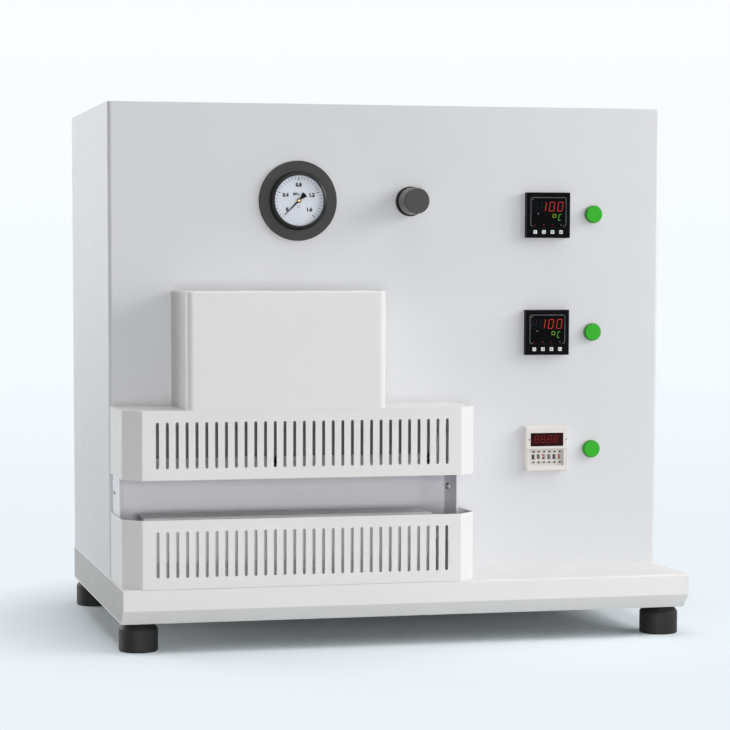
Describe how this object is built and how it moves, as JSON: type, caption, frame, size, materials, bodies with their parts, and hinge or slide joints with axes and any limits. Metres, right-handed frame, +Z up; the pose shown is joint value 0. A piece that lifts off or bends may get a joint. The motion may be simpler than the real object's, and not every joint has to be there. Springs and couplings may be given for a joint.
{
  "type": "bench heat sealer",
  "caption": "Bench heat sealer: steel cabinet on a base, air-driven jaw behind slotted guards, pressure gauge, regulator knob, temperature controllers, timer and green push buttons.",
  "frame": {"origin": "middle of the object's outline in plan, on the floor under the feet", "axes": "+X to the object's right seen from the front, -Y towards the operator, +Z up"},
  "size_m": [0.6, 0.406, 0.557],
  "materials": {
    "light_steel": "satin powder coat",
    "grey_steel": "satin paint",
    "zinc_steel": "zinc plated",
    "ground_steel": "ground",
    "jaw_aluminium": "milled",
    "dark_aluminium": "dark anodised",
    "cylinder_aluminium": "anodised",
    "heater_steel": "drawn",
    "insulation": "pressed board",
    "bronze": "turned",
    "foot_rubber": "moulded",
    "black_paint": "semi-gloss paint",
    "dial_white": "matt paint",
    "clear_glass": "polished",
    "pointer_black": "matt black",
    "knob_grey": "moulded",
    "case_black": "moulded",
    "window_dark": "polished",
    "timer_cream": "moulded",
    "window_red": "polished",
    "wheel_cream": "moulded",
    "key_white": "moulded",
    "button_green": "moulded",
    "switch_grey": "moulded"
  },
  "bodies": {
    "cabinet": {"base_shell": "light_steel", "base_ends": "grey_steel", "feet": "foot_rubber", "cabinet_wrap": "light_steel", "top_lid": "light_steel", "rear_panel": "light_steel", "case_screws": "zinc_steel", "jaw_frame": "light_steel", "lead_grommets": "foot_rubber", "lower_guard": "light_steel", "upper_guard": "light_steel", "cylinder_cover": "light_steel", "cylinder_bracket": "zinc_steel", "air_cylinder": "cylinder_aluminium", "guide_bushes": "bronze", "lower_mount_plate": "zinc_steel", "lower_insulation": "insulation", "lower_heater_block": "jaw_aluminium", "lower_heaters": "heater_steel", "lower_jaw_face": "jaw_aluminium", "gauge_case": "black_paint", "gauge_bezel": "black_paint", "gauge_dial": "dial_white", "gauge_lens": "clear_glass", "regulator_body": "knob_grey", "controller_cases": "case_black", "controller_windows": "window_dark", "timer_case": "timer_cream", "timer_window": "window_red", "switch_bodies": "switch_grey", "power_inlet": "case_black", "rear_fittings": "bronze", "solenoid_valve": "cylinder_aluminium"},
    "upper_jaw": {"upper_jaw_face": "dark_aluminium", "upper_heater_block": "dark_aluminium", "upper_heaters": "heater_steel", "upper_insulation": "insulation", "jaw_carrier": "zinc_steel", "piston_rod": "ground_steel", "guide_rods": "ground_steel"},
    "knob": {"regulator_knob": "knob_grey"},
    "pointer": {"gauge_pointer": "pointer_black"},
    "rocker": {"power_rocker": "case_black"},
    "upper_heat_button_cap": {"upper_heat_button": "button_green"},
    "lower_heat_button_cap": {"lower_heat_button": "button_green"},
    "seal_button_cap": {"seal_button": "button_green"},
    "upper_key_1_cap": {"upper_key_1": "key_white"},
    "upper_key_2_cap": {"upper_key_2": "key_white"},
    "upper_key_3_cap": {"upper_key_3": "key_white"},
    "upper_key_4_cap": {"upper_key_4": "key_white"},
    "lower_key_1_cap": {"lower_key_1": "key_white"},
    "lower_key_2_cap": {"lower_key_2": "key_white"},
    "lower_key_3_cap": {"lower_key_3": "key_white"},
    "lower_key_4_cap": {"lower_key_4": "key_white"},
    "number_wheel_1_body": {"number_wheel_1": "wheel_cream"},
    "number_wheel_2_body": {"number_wheel_2": "wheel_cream"},
    "number_wheel_3_body": {"number_wheel_3": "wheel_cream"},
    "number_wheel_4_body": {"number_wheel_4": "wheel_cream"},
    "number_wheel_5_body": {"number_wheel_5": "wheel_cream"},
    "number_wheel_6_body": {"number_wheel_6": "wheel_cream"}
  },
  "joints": [
    {"name": "upper_jaw_slide", "type": "slide", "parent": "cabinet", "child": "upper_jaw", "axis": [0, 0, -1], "range_m": [0, 0.06]},
    {"name": "knob_turn", "type": "hinge", "parent": "cabinet", "child": "knob", "pos_m": [0.0204, -0.125, 0.4568], "axis": [0, 1, 0], "range_deg": [0, 1440]},
    {"name": "pointer_turn", "type": "hinge", "parent": "cabinet", "child": "pointer", "pos_m": [-0.1006, -0.108, 0.4568], "axis": [0, 1, 0], "range_deg": [0, 270]},
    {"name": "rocker_turn", "type": "hinge", "parent": "cabinet", "child": "rocker", "pos_m": [0.19, 0.1855, 0.142], "axis": [1, 0, 0], "range_deg": [0, 20]},
    {"name": "upper_heat_button_press", "type": "slide", "parent": "cabinet", "child": "upper_heat_button_cap", "axis": [0, 1, 0], "range_m": [0, 0.002], "stiffness_N_per_m": 600, "springref_m": -0.0015},
    {"name": "lower_heat_button_press", "type": "slide", "parent": "cabinet", "child": "lower_heat_button_cap", "axis": [0, 1, 0], "range_m": [0, 0.002], "stiffness_N_per_m": 600, "springref_m": -0.0015},
    {"name": "seal_button_press", "type": "slide", "parent": "cabinet", "child": "seal_button_cap", "axis": [0, 1, 0], "range_m": [0, 0.002], "stiffness_N_per_m": 600, "springref_m": -0.0015},
    {"name": "upper_key_1_press", "type": "slide", "parent": "cabinet", "child": "upper_key_1_cap", "axis": [0, 1, 0], "range_m": [0, 0.0005], "stiffness_N_per_m": 1500, "springref_m": -0.0003},
    {"name": "upper_key_2_press", "type": "slide", "parent": "cabinet", "child": "upper_key_2_cap", "axis": [0, 1, 0], "range_m": [0, 0.0005], "stiffness_N_per_m": 1500, "springref_m": -0.0003},
    {"name": "upper_key_3_press", "type": "slide", "parent": "cabinet", "child": "upper_key_3_cap", "axis": [0, 1, 0], "range_m": [0, 0.0005], "stiffness_N_per_m": 1500, "springref_m": -0.0003},
    {"name": "upper_key_4_press", "type": "slide", "parent": "cabinet", "child": "upper_key_4_cap", "axis": [0, 1, 0], "range_m": [0, 0.0005], "stiffness_N_per_m": 1500, "springref_m": -0.0003},
    {"name": "lower_key_1_press", "type": "slide", "parent": "cabinet", "child": "lower_key_1_cap", "axis": [0, 1, 0], "range_m": [0, 0.0005], "stiffness_N_per_m": 1500, "springref_m": -0.0003},
    {"name": "lower_key_2_press", "type": "slide", "parent": "cabinet", "child": "lower_key_2_cap", "axis": [0, 1, 0], "range_m": [0, 0.0005], "stiffness_N_per_m": 1500, "springref_m": -0.0003},
    {"name": "lower_key_3_press", "type": "slide", "parent": "cabinet", "child": "lower_key_3_cap", "axis": [0, 1, 0], "range_m": [0, 0.0005], "stiffness_N_per_m": 1500, "springref_m": -0.0003},
    {"name": "lower_key_4_press", "type": "slide", "parent": "cabinet", "child": "lower_key_4_cap", "axis": [0, 1, 0], "range_m": [0, 0.0005], "stiffness_N_per_m": 1500, "springref_m": -0.0003},
    {"name": "number_wheel_1_turn", "type": "hinge", "parent": "cabinet", "child": "number_wheel_1_body", "pos_m": [0.15745, -0.1048, 0.1849], "axis": [1, 0, 0], "continuous": true},
    {"name": "number_wheel_2_turn", "type": "hinge", "parent": "cabinet", "child": "number_wheel_2_body", "pos_m": [0.16335, -0.1048, 0.1849], "axis": [1, 0, 0], "continuous": true},
    {"name": "number_wheel_3_turn", "type": "hinge", "parent": "cabinet", "child": "number_wheel_3_body", "pos_m": [0.16925, -0.1048, 0.1849], "axis": [1, 0, 0], "continuous": true},
    {"name": "number_wheel_4_turn", "type": "hinge", "parent": "cabinet", "child": "number_wheel_4_body", "pos_m": [0.17515, -0.1048, 0.1849], "axis": [1, 0, 0], "continuous": true},
    {"name": "number_wheel_5_turn", "type": "hinge", "parent": "cabinet", "child": "number_wheel_5_body", "pos_m": [0.18105, -0.1048, 0.1849], "axis": [1, 0, 0], "continuous": true},
    {"name": "number_wheel_6_turn", "type": "hinge", "parent": "cabinet", "child": "number_wheel_6_body", "pos_m": [0.18695, -0.1048, 0.1849], "axis": [1, 0, 0], "continuous": true}
  ]
}
